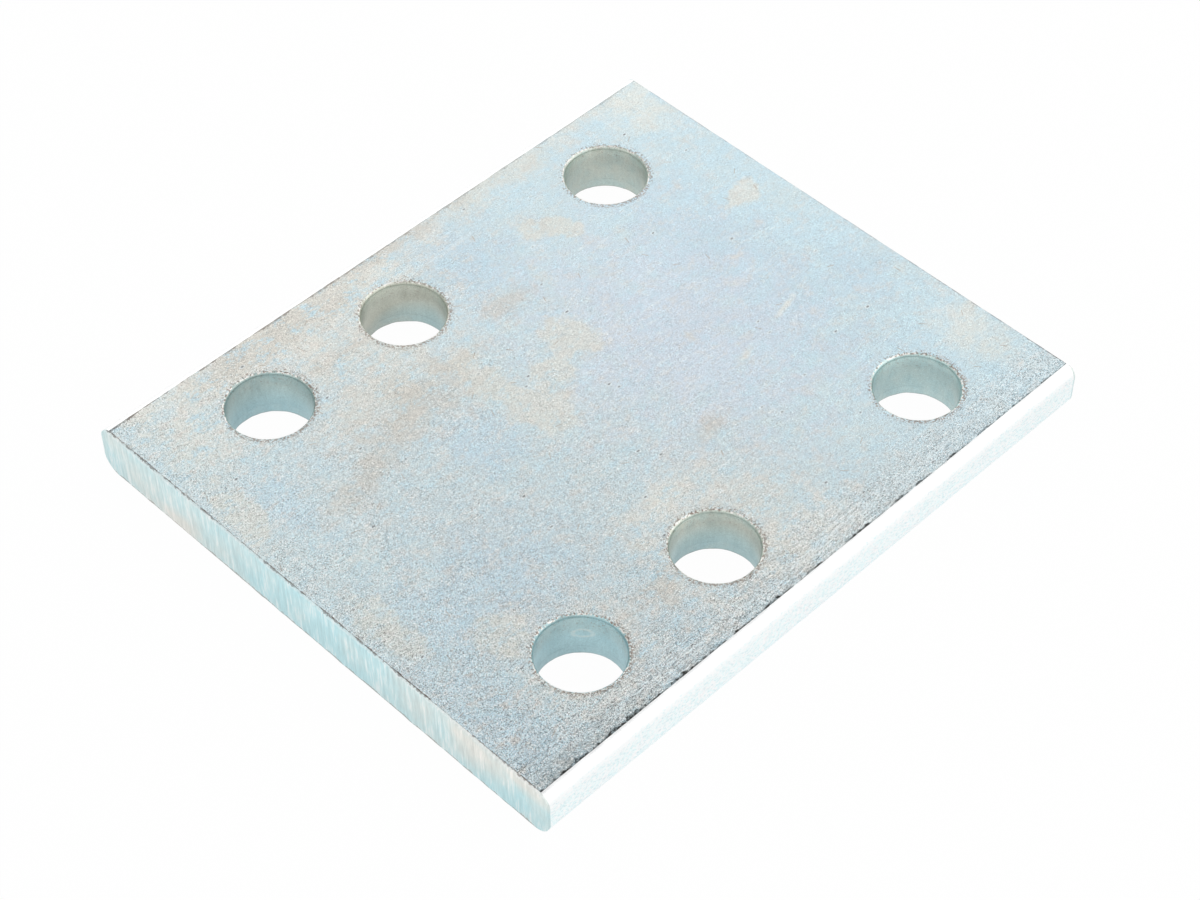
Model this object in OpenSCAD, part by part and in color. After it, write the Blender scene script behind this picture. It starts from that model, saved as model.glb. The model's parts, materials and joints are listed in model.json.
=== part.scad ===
// Drop plate for a tow ball: a piece of hot-rolled flat bar, sheared at both ends and punched
// with bolt holes in pairs, all one piece of zinc-plated steel.
// X runs across the bar between its rolled edges, Y along the bar, and Z up through its thickness.
// The origin is under the middle of the plate, on the face that it lies on.

/* [Bar] */
// Width of the flat bar over its rolled edges
bar_width = 130; // [125:1:180]
// Length that the bar is sheared to
plate_length = 152; // [148:1:240]
// Thickness of the bar
bar_thickness = 12; // [9:0.5:20]

/* [Rolled edges] */
// How far the crease of the upper face stands in from the side of the bar
crease_inset = 2.4; // [0.6:0.1:3]
// Depth below the upper face at which the side turns upright
shoulder_depth = 3; // [3:0.1:4]
// Radius of the lower corners of the bar
lower_corner_radius = 4; // [1:0.1:4.5]

/* [Sheared ends] */
// How far the shear draws the upper edge in from the end
end_draw = 0.4; // [0.1:0.05:0.8]
// Depth that the drawn edge reaches below the upper face
end_draw_depth = 0.8; // [0.8:0.05:1.5]

/* [Bolt holes] */
// Diameter of the bolts that go through the plate
bolt_diameter = 16; // [12:1:18]
// Clearance of the holes on the bolt's diameter
bolt_clearance = 2; // [0.5:0.1:3]
// Distance between the two holes of a pair, as on a flanged tow ball
pair_pitch = 90; // [70:1:95]
// Distance from the near end to the first pair of holes
near_margin = 28; // [20:1:32]
// Distance from the first pair to the second
near_step = 37; // [26:1:42]
// Distance from the second pair to the third
far_step = 60; // [30:1:62]

/* [Punching] */
// How far the punch draws the upper rim of a hole outwards
rim_draw = 0.6; // [0.1:0.05:0.9]
// Depth that the drawn rim reaches below the upper face
rim_draw_depth = 0.9; // [0.9:0.05:2]
// How far the break-out widens a hole at the lower face
breakout_spread = 0.3; // [0.1:0.05:0.8]
// Height of the break-out above the lower face
breakout_height = 2.5; // [1:0.1:4]

/* [Hidden] */
$fn = 96;
// Pale blue of passivated zinc
zinc_colour = [0.76, 0.83, 0.86];
// Length by which a cutter passes the face that it opens
overcut = 1;
hole_radius = (bolt_diameter + bolt_clearance) / 2;
first_row = near_margin - plate_length / 2;
second_row = first_row + near_step;
third_row = second_row + far_step;
hole_rows = [first_row, second_row, third_row];
hole_columns = [-pair_pitch / 2, pair_pitch / 2];

// Radius of an arc that leaves an upright wall smoothly and ends at this inset, this far up
function drawn_radius(inset, depth) = (inset * inset + depth * depth) / (2 * inset);

// What a drawn edge takes off a square corner at the origin, with the material at -X and -Y
module drawn_corner(inset, depth) {
    radius = drawn_radius(inset, depth);
    difference() {
        translate([-inset, -depth])
            square([inset + overcut, depth + overcut]);
        translate([-radius, -depth])
            circle(r = radius);
    }
}

// Cross-section of the rolled bar, with its lower face along the X axis
module bar_section() {
    difference() {
        translate([-bar_width / 2, 0])
            square([bar_width, bar_thickness]);
        for (side = [0, 1])
            mirror([side, 0])
                translate([bar_width / 2, bar_thickness])
                    drawn_corner(crease_inset, shoulder_depth);
        for (side = [0, 1])
            mirror([side, 0])
                translate([bar_width / 2, 0])
                    mirror([0, 1])
                        drawn_corner(lower_corner_radius, lower_corner_radius);
    }
}

// The bar at its sheared length, before its ends and holes are formed
module bar_blank() {
    rotate([90, 0, 0])
        linear_extrude(height = plate_length, center = true)
            bar_section();
}

// What the shear draws off the upper edge of one end, the one at +Y
module sheared_edge() {
    translate([0, plate_length / 2, bar_thickness])
        rotate([90, 0, 90])
            linear_extrude(height = bar_width + 2 * overcut, center = true)
                drawn_corner(end_draw, end_draw_depth);
}

// Half of a punched hole's outline: the wall, the drawn rim above it and the break-out below
module hole_outline() {
    lower_radius = hole_radius + breakout_spread * (1 + overcut / breakout_height);
    square([hole_radius, bar_thickness + overcut]);
    translate([hole_radius, bar_thickness])
        mirror([1, 0])
            drawn_corner(rim_draw, rim_draw_depth);
    polygon([
        [0, -overcut],
        [lower_radius, -overcut],
        [hole_radius, breakout_height],
        [0, breakout_height]
    ]);
}

// What the punch takes out of the plate at one hole
module punched_hole() {
    rotate_extrude()
        hole_outline();
}

module drop_plate() {
    color(zinc_colour)
        difference() {
            bar_blank();
            for (end = [0, 1])
                mirror([0, end, 0])
                    sheared_edge();
            for (x = hole_columns, y = hole_rows)
                translate([x, y, 0])
                    punched_hole();
        }
}

drop_plate();
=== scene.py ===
import json
import math

import bmesh
import bpy
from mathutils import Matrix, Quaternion, Vector


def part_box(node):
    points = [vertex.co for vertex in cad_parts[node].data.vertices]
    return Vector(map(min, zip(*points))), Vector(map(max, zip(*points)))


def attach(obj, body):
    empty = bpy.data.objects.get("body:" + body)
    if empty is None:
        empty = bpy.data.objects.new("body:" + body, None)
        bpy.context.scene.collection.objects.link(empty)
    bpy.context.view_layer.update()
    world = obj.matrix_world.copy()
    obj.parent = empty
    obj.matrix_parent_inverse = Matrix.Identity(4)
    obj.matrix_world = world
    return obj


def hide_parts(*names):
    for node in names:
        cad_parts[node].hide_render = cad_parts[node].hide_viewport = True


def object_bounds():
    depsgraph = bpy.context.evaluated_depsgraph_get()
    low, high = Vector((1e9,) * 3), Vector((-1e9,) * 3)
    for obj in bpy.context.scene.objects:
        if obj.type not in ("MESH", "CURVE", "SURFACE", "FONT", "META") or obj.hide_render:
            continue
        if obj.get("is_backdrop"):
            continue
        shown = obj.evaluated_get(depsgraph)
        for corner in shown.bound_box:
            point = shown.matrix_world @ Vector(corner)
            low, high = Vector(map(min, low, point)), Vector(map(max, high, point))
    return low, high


# A zinc-plated drop plate: hot-rolled flat bar, sheared at both ends and punched with bolt holes.
# Everything is in metres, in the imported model's frame: X across the bar, Y along it, Z up.

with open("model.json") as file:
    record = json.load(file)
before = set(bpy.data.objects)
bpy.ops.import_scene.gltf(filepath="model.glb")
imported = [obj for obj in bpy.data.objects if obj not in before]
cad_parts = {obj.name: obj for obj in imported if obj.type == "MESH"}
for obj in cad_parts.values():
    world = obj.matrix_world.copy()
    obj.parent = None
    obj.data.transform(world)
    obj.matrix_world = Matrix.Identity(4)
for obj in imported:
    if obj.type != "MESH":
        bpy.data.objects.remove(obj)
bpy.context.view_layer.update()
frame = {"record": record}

# Sizes that the frame gives

MM = 0.001
NODE = "drop_plate"
LOW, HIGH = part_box(NODE)
HALF_WIDTH = (HIGH.x - LOW.x) / 2
HALF_LENGTH = (HIGH.y - LOW.y) / 2
THICKNESS = HIGH.z - LOW.z

BORES = [mount for mount in frame["record"]["mounts"] if mount["kind"] == "bore"]
HOLE_RADIUS = BORES[0]["dims"]["r_mm"] * MM
HOLE_WALL = BORES[0]["dims"]["length_mm"] * MM
HOLE_COLUMN = max(mount["pos_m"][0] for mount in BORES)
HOLE_ROWS = sorted({round(mount["pos_m"][1], 6) for mount in BORES})
BREAKOUT_HEIGHT = BORES[0]["pos_m"][2] - HOLE_WALL / 2
RIM_DRAW_DEPTH = THICKNESS - BREAKOUT_HEIGHT - HOLE_WALL

# The rolled edges, sheared ends and punched rims, as the solid has them
CREASE_INSET = 2.4 * MM
SHOULDER_DEPTH = 3.0 * MM
LOWER_CORNER = 4.0 * MM
END_DRAW = 0.4 * MM
END_DRAW_DEPTH = 0.8 * MM
RIM_DRAW = 0.6 * MM
BREAKOUT_SPREAD = 0.3 * MM

CREASE_X = HALF_WIDTH - CREASE_INSET
CREASE_Y = HALF_LENGTH - END_DRAW
FLAT_HALF = HALF_WIDTH - LOWER_CORNER
RIM_RADIUS = HOLE_RADIUS + RIM_DRAW
LOWER_RIM_RADIUS = HOLE_RADIUS + BREAKOUT_SPREAD

# Mesh density
CELL = 1.0 * MM
PATCH_CELLS = 24
PATCH_RINGS = 6
RIM_STEPS = 8
WALL_STEPS = 9
BREAKOUT_STEPS = 3
SHOULDER_STEPS = 12
CORNER_STEPS = 12
SIDE_STEPS = 5
END_STEPS = 6
END_ROWS = 8
PATCH_SIZE = PATCH_CELLS * CELL
GRID_HALF = math.floor(CREASE_Y / CELL) * CELL
CLOSE = 0.01 * MM
SHARP_ANGLE = math.radians(14)

# How far rolling, shearing and punching left the surface from its nominal form
ROLLING_WAVE = 0.10 * MM
ROLLING_WAVE_SIZE = 34 * MM
SCALE_MARKS = 0.03 * MM
SCALE_MARKS_SIZE = 4 * MM
RAGGED_CREASE = 0.30 * MM
RAGGED_SIZE = 2.6 * MM
RAGGED_END = 1.0
RAGGED_EDGE = 0.6
RAGGED_RIM = 0.9
RAGGED_RIM_CURVE = 0.4
RAGGED_LOWER_RIM = 0.8
RAGGED_LOWER_END = 0.9

# Colours, as sRGB levels


def srgb(*levels):
    """A linear colour from three sRGB levels of 0 to 255."""
    def linear(level):
        share = level / 255
        return share / 12.92 if share <= 0.04045 else ((share + 0.055) / 1.055) ** 2.4
    return tuple(linear(level) for level in levels) + (1.0,)


ZINC_PLAIN = srgb(202, 215, 219)
ZINC_CYAN = srgb(199, 219, 227)
ZINC_BLUE = srgb(195, 213, 223)
ZINC_PALE = srgb(209, 222, 224)
GRAIN_COOL = srgb(192, 219, 231)
GRAIN_WARM = srgb(218, 214, 207)
LAVENDER_BLOOM = srgb(205, 215, 225)
BEIGE_BLOOM = srgb(216, 217, 210)
WARM_BLOOM = srgb(219, 217, 208)
PALE_BLOOM = srgb(228, 227, 218)
BROWN_SMUDGE = srgb(203, 199, 191)
RIM_DIRT = srgb(152, 138, 128)
# Near white of the painted glints on the hole rims
RIM_GLINT_WHITE = srgb(253, 251, 246)
CREASE_DIRT = srgb(102, 88, 82)
CREASE_DARK = srgb(58, 58, 56)
# Painted shade in the pits
PIT_SHADE = srgb(118, 120, 120)
DASH_BROWN = srgb(176, 162, 148)
# Pale scratches and marks, and the painted highlights round the pits
PALE_MARK_AND_HIGHLIGHT = srgb(228, 236, 238)
# Darker band along the right crease: partly worked metal, partly painted shade
DARK_STRIP_AND_SHADE = srgb(132, 146, 150)
# White of the painted highlights on the rolled edges and under the sheared ends' upper edges, and of the
# edges' white specks
HIGHLIGHT_AND_SPECK_WHITE = srgb(253, 254, 254)
EDGE_CYAN = srgb(240, 254, 255)
EDGE_LOW = srgb(231, 252, 255)
EDGE_PINK = srgb(251, 249, 250)
EDGE_DIM = srgb(203, 227, 232)
END_CYAN = srgb(196, 231, 236)
END_BEIGE = srgb(230, 232, 226)
END_PINK = srgb(240, 233, 230)
BORE_CYAN = srgb(174, 206, 212)
BORE_GREEN = srgb(180, 201, 200)
BORE_DULL = srgb(187, 190, 179)
SCUFF_LIGHT = srgb(214, 222, 218)
FLOOR_WHITE = srgb(245, 245, 245)
WHITE = (1.0, 1.0, 1.0, 1.0)

# How far the near end of the face outshines its colour
NEAR_GLEAM = (1.05, 1.075, 1.075, 1.0)

# Stains of the upper face: middle X and Y, half width, half length in mm, and turn in degrees

LAVENDER_BLOOMS = [
    (0, 24, 28, 23, 0),
]
BLUE_BLOOMS = [
    (24, -60, 14, 10, 0),
    (22, -46, 12, 14, 0),
    (50, -70, 20, 10, 0),
    (-45, 9, 14, 9, 0),
    (-4, 49, 34, 12, 0),
    (14, 66, 9, 6, 0),
    (-6, -24, 8, 8, 0),
    (-24, -63, 12, 4, 0),
]
WARM_BLOOMS = [
    (-62, -40, 9, 36, 0),
    (-52, -32, 13, 12, 0),
    (-45, -18, 15, 12, 0),
    (-50, -64, 12, 8, 0),
    (43, -8, 13, 16, 0),
    (46, -48, 11, 12, 0),
    (-32, -30, 8, 16, 10),
    (-62, 30, 4, 30, 0),
]
PALE_BLOOMS = [
    (-60, -34, 8, 26, 0),
    (-58, -10, 5, 8, 0),
    (-58, 70, 10, 7, 0),
    (42, 69, 8, 5, 0),
    (10.3, 47, 0.6, 4, 15),
    (14.2, 30.5, 0.8, 3, 15),
    (31, -11, 4, 8, 0),
    (-57, -48, 7, 8, 0),
    (57, 3, 5, 12, 0),
]
BEIGE_STAINS = [
    (-15, 8, 6.5, 6, 0),
    (-10.5, -1, 4.5, 7, 15),
    (-5, -10, 8, 6, 10),
    (-17, -12.5, 9, 4.5, 0),
    (-40, 31, 4, 3.5, 0),
    (-44, 25, 3, 2.5, 0),
    (-19, 66, 3, 5, 0),
    (15, -70, 9.5, 4, 0),
    (31, -55, 5, 6, 0),
    (-27, -71, 9, 3.5, 0),
]
BROWN_SMUDGES = [
    (-59, -34, 4, 20, 0),
    (-45.3, -28, 1.1, 8, 0),
    (-24, -26, 6.5, 12, 8),
    (-20, -38, 3.5, 10, 12),
    (-15, -51, 3, 9, 12),
    (-32, 7, 3, 5, 0),
    (23, 11, 2, 4, 10),
    (44, -25.5, 3, 4, 0),
    (-62, -2, 2, 20, 0),
]

# The stains in the order they are laid on: colour, softness of the border, strength and fray
FACE_STAINS = [
    (BLUE_BLOOMS, ZINC_BLUE, 0.40, 0.85, 0.8),
    (LAVENDER_BLOOMS, LAVENDER_BLOOM, 0.40, 0.9, 0.7),
    (WARM_BLOOMS, WARM_BLOOM, 0.34, 0.6, 0.8),
    (PALE_BLOOMS, PALE_BLOOM, 0.40, 0.6, 0.7),
    (BEIGE_STAINS, BEIGE_BLOOM, 0.12, 0.75, 0.55),
    (BROWN_SMUDGES, BROWN_SMUDGE, 0.42, 0.65, 0.8),
]

# Modelling helpers


def leave_edit():
    """Goes back to object mode, with nothing selected."""
    if bpy.context.object and bpy.context.object.mode != "OBJECT":
        bpy.ops.object.mode_set(mode="OBJECT")
    bpy.ops.object.select_all(action="DESELECT")


def activate(piece):
    """Makes this piece the active one and the only one selected."""
    leave_edit()
    piece.select_set(True)
    bpy.context.view_layer.objects.active = piece


def open_edit(piece):
    """Opens a piece in edit mode, with nothing selected."""
    activate(piece)
    bpy.ops.object.mode_set(mode="EDIT")
    bpy.ops.mesh.select_mode(type="VERT")
    bpy.ops.mesh.select_all(action="DESELECT")


def choose(test):
    """Selects the points of the open mesh that pass test(place), and what lies between them."""
    mesh = bpy.context.object.data
    points = bmesh.from_edit_mesh(mesh)
    for point in points.verts:
        point.select = bool(test(point.co))
    points.select_mode = {"VERT"}
    points.select_flush_mode()
    bmesh.update_edit_mesh(mesh)


def choose_faces(test):
    """Selects the faces of the open mesh whose middle passes test(place)."""
    mesh = bpy.context.object.data
    bpy.ops.mesh.select_mode(type="FACE")
    faces = bmesh.from_edit_mesh(mesh)
    for face in faces.faces:
        face.select = bool(test(face.calc_center_median()))
    bmesh.update_edit_mesh(mesh)


def extrude(step):
    """Extrudes what is selected by this step."""
    bpy.ops.mesh.extrude_region_move(TRANSFORM_OT_translate={"value": step})


def apply_modifier(piece, modifier):
    activate(piece)
    bpy.ops.object.modifier_apply(modifier=modifier.name)
    leave_edit()


def near(a, b):
    """Are two lengths the same, but for rounding?"""
    return abs(a - b) < CLOSE


def drawn_radius(inset, depth):
    """Radius of an arc that leaves an upright wall smoothly and ends at this inset, this far up."""
    return (inset * inset + depth * depth) / (2 * inset)


def hole_offset(place):
    """A point's distance from the axis of the nearest hole."""
    return min(math.hypot(abs(place.x) - HOLE_COLUMN, place.y - row) for row in HOLE_ROWS)


def in_hole_patch(place):
    """Is this point of the right half inside the square of face that belongs to a hole?"""
    across = abs(place.x - HOLE_COLUMN)
    return any(max(across, abs(place.y - row)) < PATCH_SIZE / 2 for row in HOLE_ROWS)


# The plate's skin


def half_face(name, height):
    """The right half of a rolled face as a grid, with square openings where the holes go."""
    columns = round(FLAT_HALF / CELL)
    rows = round(2 * GRID_HALF / CELL)
    leave_edit()
    bpy.ops.mesh.primitive_grid_add(x_subdivisions=columns, y_subdivisions=rows, size=2)
    face = bpy.context.object
    face.name = name
    bpy.ops.transform.resize(value=(FLAT_HALF / 2, GRID_HALF, 1))
    bpy.ops.transform.translate(value=(FLAT_HALF / 2, 0, height))
    bpy.ops.object.transform_apply(location=True, rotation=True, scale=True)
    open_edit(face)
    choose_faces(in_hole_patch)
    bpy.ops.mesh.delete(type="FACE")
    leave_edit()
    return face


def roll_edge(face):
    """Carries the upper face over its crease and round the bar's edge to the lower face."""
    radius = drawn_radius(CREASE_INSET, SHOULDER_DEPTH)
    shoulder = THICKNESS - SHOULDER_DEPTH
    turn = math.asin(SHOULDER_DEPTH / radius)
    shoulder_axis = (HALF_WIDTH - radius, 0, shoulder)
    corner_axis = (FLAT_HALF, 0, LOWER_CORNER)
    clockwise = (0, -1, 0)
    open_edit(face)
    choose(lambda p: near(p.x, FLAT_HALF))
    extrude((CREASE_X - FLAT_HALF, 0, 0))
    bpy.ops.mesh.spin(steps=SHOULDER_STEPS, angle=turn, center=shoulder_axis, axis=clockwise)
    for _ in range(SIDE_STEPS):
        extrude((0, 0, (LOWER_CORNER - shoulder) / SIDE_STEPS))
    bpy.ops.mesh.spin(steps=CORNER_STEPS, angle=math.pi / 2, center=corner_axis, axis=clockwise)
    leave_edit()


def hole_profile():
    """(radius, height) points down a punched hole: drawn rim, straight wall and break-out."""
    radius = drawn_radius(RIM_DRAW, RIM_DRAW_DEPTH)
    wall_top = THICKNESS - RIM_DRAW_DEPTH
    full_turn = math.asin(RIM_DRAW_DEPTH / radius)
    points = []
    for step in range(RIM_STEPS + 1):
        turn = full_turn * (1 - step / RIM_STEPS)
        out = HOLE_RADIUS + radius * (1 - math.cos(turn))
        points.append((out, wall_top + radius * math.sin(turn)))
    for step in range(1, WALL_STEPS + 1):
        points.append((HOLE_RADIUS, wall_top - HOLE_WALL * step / WALL_STEPS))
    for step in range(1, BREAKOUT_STEPS + 1):
        share = step / BREAKOUT_STEPS
        points.append((HOLE_RADIUS + BREAKOUT_SPREAD * share, BREAKOUT_HEIGHT * (1 - share)))
    return points


def square_loop(height):
    """Adds the square border of a hole's patch of face to the open mesh."""
    half = PATCH_SIZE / 2
    bpy.ops.mesh.select_all(action="DESELECT")
    bpy.ops.mesh.primitive_plane_add(size=PATCH_SIZE, location=(0, 0, height))
    bpy.ops.mesh.delete(type="ONLY_FACE")
    choose(lambda p: near(p.z, height) and near(abs(p.x), half) and near(abs(p.y), half))
    bpy.ops.mesh.subdivide(number_cuts=PATCH_CELLS - 1)


def punched_hole():
    """One hole at the origin: its profile spun round, with a square patch of face above and below."""
    profile = hole_profile()
    leave_edit()
    bpy.ops.mesh.primitive_plane_add(size=CELL)
    hole = bpy.context.object
    hole.name = "punched_hole"
    bpy.ops.object.mode_set(mode="EDIT")
    bpy.ops.mesh.select_mode(type="VERT")
    bpy.ops.mesh.merge(type="CENTER")
    bpy.ops.transform.translate(value=(profile[0][0], 0, profile[0][1]))
    for (radius, height), (next_radius, next_height) in zip(profile, profile[1:]):
        extrude((next_radius - radius, 0, next_height - height))
    bpy.ops.mesh.select_all(action="SELECT")
    bpy.ops.mesh.spin(steps=4 * PATCH_CELLS, angle=2 * math.pi, center=(0, 0, 0), axis=(0, 0, 1))
    bpy.ops.mesh.select_all(action="SELECT")
    bpy.ops.mesh.remove_doubles(threshold=CLOSE)
    for radius, height in (profile[0], profile[-1]):
        square_loop(height)
        choose(
            lambda p: near(p.z, height)
            and (near(p.xy.length, radius) or near(max(abs(p.x), abs(p.y)), PATCH_SIZE / 2))
        )
        bpy.ops.mesh.bridge_edge_loops(number_cuts=PATCH_RINGS - 1, interpolation="LINEAR")
    leave_edit()
    return hole


def place_copies(hole):
    """Copies of the hole at the rows of the right column, each with its own mesh."""
    copies = []
    for row in HOLE_ROWS:
        activate(hole)
        bpy.ops.object.duplicate()
        copy = bpy.context.object
        bpy.ops.transform.translate(value=(HOLE_COLUMN, row, 0))
        bpy.ops.object.transform_apply(location=True, rotation=True, scale=True)
        copies.append(copy)
    leave_edit()
    bpy.data.objects.remove(hole)
    return copies


def join_halves(pieces):
    """Joins the pieces of the right half into one skin and mirrors it across the bar."""
    leave_edit()
    for piece in pieces:
        piece.select_set(True)
    plate = pieces[0]
    bpy.context.view_layer.objects.active = plate
    bpy.ops.object.join()
    open_edit(plate)
    bpy.ops.mesh.select_all(action="SELECT")
    bpy.ops.mesh.remove_doubles(threshold=CLOSE)
    leave_edit()
    mirror = plate.modifiers.new("other_half", "MIRROR")
    mirror.use_axis = (True, False, False)
    mirror.merge_threshold = CLOSE
    apply_modifier(plate, mirror)
    return plate


def draw_end(plate, side):
    """Carries one end out to its length, with its upper edge drawn down as the shear left it."""
    radius = drawn_radius(END_DRAW, END_DRAW_DEPTH)
    base = THICKNESS - END_DRAW_DEPTH
    full_turn = math.asin(END_DRAW_DEPTH / radius)
    open_edit(plate)
    reach = GRID_HALF
    for step in range(END_STEPS + 1):
        turn = full_turn * (1 - step / END_STEPS)
        target = HALF_LENGTH - radius * (1 - math.cos(turn))
        height = base + radius * math.sin(turn)
        choose(lambda p: near(side * p.y, reach))
        extrude((0, side * (target - reach), 0))
        choose(lambda p: near(side * p.y, target) and p.z > height)
        bpy.ops.transform.resize(value=(1, 1, 0), center_override=(0, 0, height))
        reach = target
    leave_edit()


def close_end(plate, side):
    """Closes one end: rows of cells between its upper and lower edges, then the two rounded corners."""
    upper = THICKNESS - END_DRAW_DEPTH
    open_edit(plate)
    choose(
        lambda p: near(side * p.y, HALF_LENGTH)
        and (near(p.z, upper) or near(p.z, 0))
        and abs(p.x) < FLAT_HALF + CLOSE
    )
    bpy.ops.mesh.bridge_edge_loops(number_cuts=END_ROWS - 1, interpolation="LINEAR")
    for corner in (1, -1):
        choose(lambda p: near(side * p.y, HALF_LENGTH) and corner * p.x > FLAT_HALF - CLOSE)
        bpy.ops.mesh.edge_face_add()
    leave_edit()


def face_outwards(plate):
    """Closes the skin's seams and turns every face outwards."""
    open_edit(plate)
    bpy.ops.mesh.select_all(action="SELECT")
    bpy.ops.mesh.remove_doubles(threshold=CLOSE)
    bpy.ops.mesh.normals_make_consistent(inside=False)
    leave_edit()


def mark_creases(plate):
    """Shades the skin smooth, apart from its creases and the line where the punch broke out."""
    activate(plate)
    bpy.ops.object.shade_smooth()
    open_edit(plate)
    bpy.ops.mesh.select_mode(type="EDGE")
    bpy.ops.mesh.edges_select_sharp(sharpness=SHARP_ANGLE)
    bpy.ops.mesh.mark_sharp()
    bpy.ops.mesh.select_mode(type="VERT")
    choose(lambda p: near(p.z, BREAKOUT_HEIGHT) and near(hole_offset(p), HOLE_RADIUS))
    bpy.ops.mesh.mark_sharp()
    leave_edit()


# What the mill and the press left on the skin


def ragged_weight(place):
    """How far a point takes part in the ragged creases: 1 on the drawn edges and rims, 0 away from them."""
    upper = near(place.z, THICKNESS)
    lower = near(place.z, 0)
    offset = hole_offset(place)
    if upper and near(abs(place.y), CREASE_Y):
        return RAGGED_END
    if upper and near(abs(place.x), CREASE_X):
        return RAGGED_EDGE
    if upper and near(offset, RIM_RADIUS):
        return RAGGED_RIM
    if lower and near(offset, LOWER_RIM_RADIUS):
        return RAGGED_LOWER_RIM
    if lower and near(abs(place.y), HALF_LENGTH):
        return RAGGED_LOWER_END
    if HOLE_RADIUS + CLOSE < offset < RIM_RADIUS and place.z > THICKNESS / 2:
        return RAGGED_RIM_CURVE
    return 0.0


def weigh_points(plate, name, weigh):
    """Makes a group of the plate's points, each with the weight that weigh(place) gives."""
    group = plate.vertex_groups.new(name=name)
    for vertex in plate.data.vertices:
        weight = weigh(vertex.co)
        if weight > 0:
            group.add([vertex.index], weight, "REPLACE")


def displace(plate, name, strength, size, group=None):
    """Moves the plate's points, or a named group of them, by a fixed cloud pattern of this size."""
    clouds = bpy.data.textures.new(name, "CLOUDS")
    clouds.noise_scale = size
    clouds.noise_depth = 2
    modifier = plate.modifiers.new(name, "DISPLACE")
    modifier.texture = clouds
    modifier.texture_coords = "LOCAL"
    modifier.direction = "NORMAL"
    modifier.strength = strength
    modifier.mid_level = 0.5
    if group:
        modifier.vertex_group = group
    apply_modifier(plate, modifier)


def roughen(plate):
    """Gives the clean skin its rolling waves, scale marks and ragged creases."""
    weigh_points(plate, "ragged_creases", ragged_weight)
    displace(plate, "rolling_waves", ROLLING_WAVE, ROLLING_WAVE_SIZE)
    displace(plate, "scale_marks", SCALE_MARKS, SCALE_MARKS_SIZE)
    displace(plate, "ragged_creases", RAGGED_CREASE, RAGGED_SIZE, "ragged_creases")


def build_plate():
    upper = half_face("zinc_drop_plate", THICKNESS)
    lower = half_face("lower_face", 0)
    roll_edge(upper)
    holes = place_copies(punched_hole())
    plate = join_halves([upper, lower, *holes])
    for side in (1, -1):
        draw_end(plate, side)
        close_end(plate, side)
    face_outwards(plate)
    mark_creases(plate)
    return plate


# Shader helpers

# The range that most of a noise falls in
NOISE_LOW = 0.3
NOISE_HIGH = 0.7


class Wire:
    """A node's output, which can be reckoned with like a number."""

    def __init__(self, bench, socket):
        self.bench = bench
        self.socket = socket

    def __add__(self, other):
        return self.bench.math("ADD", self, other)

    def __radd__(self, other):
        return self.bench.math("ADD", other, self)

    def __sub__(self, other):
        return self.bench.math("SUBTRACT", self, other)

    def __rsub__(self, other):
        return self.bench.math("SUBTRACT", other, self)

    def __mul__(self, other):
        return self.bench.math("MULTIPLY", self, other)

    def __truediv__(self, other):
        return self.bench.math("DIVIDE", self, other)

    def __abs__(self):
        return self.bench.math("ABSOLUTE", self)


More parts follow.
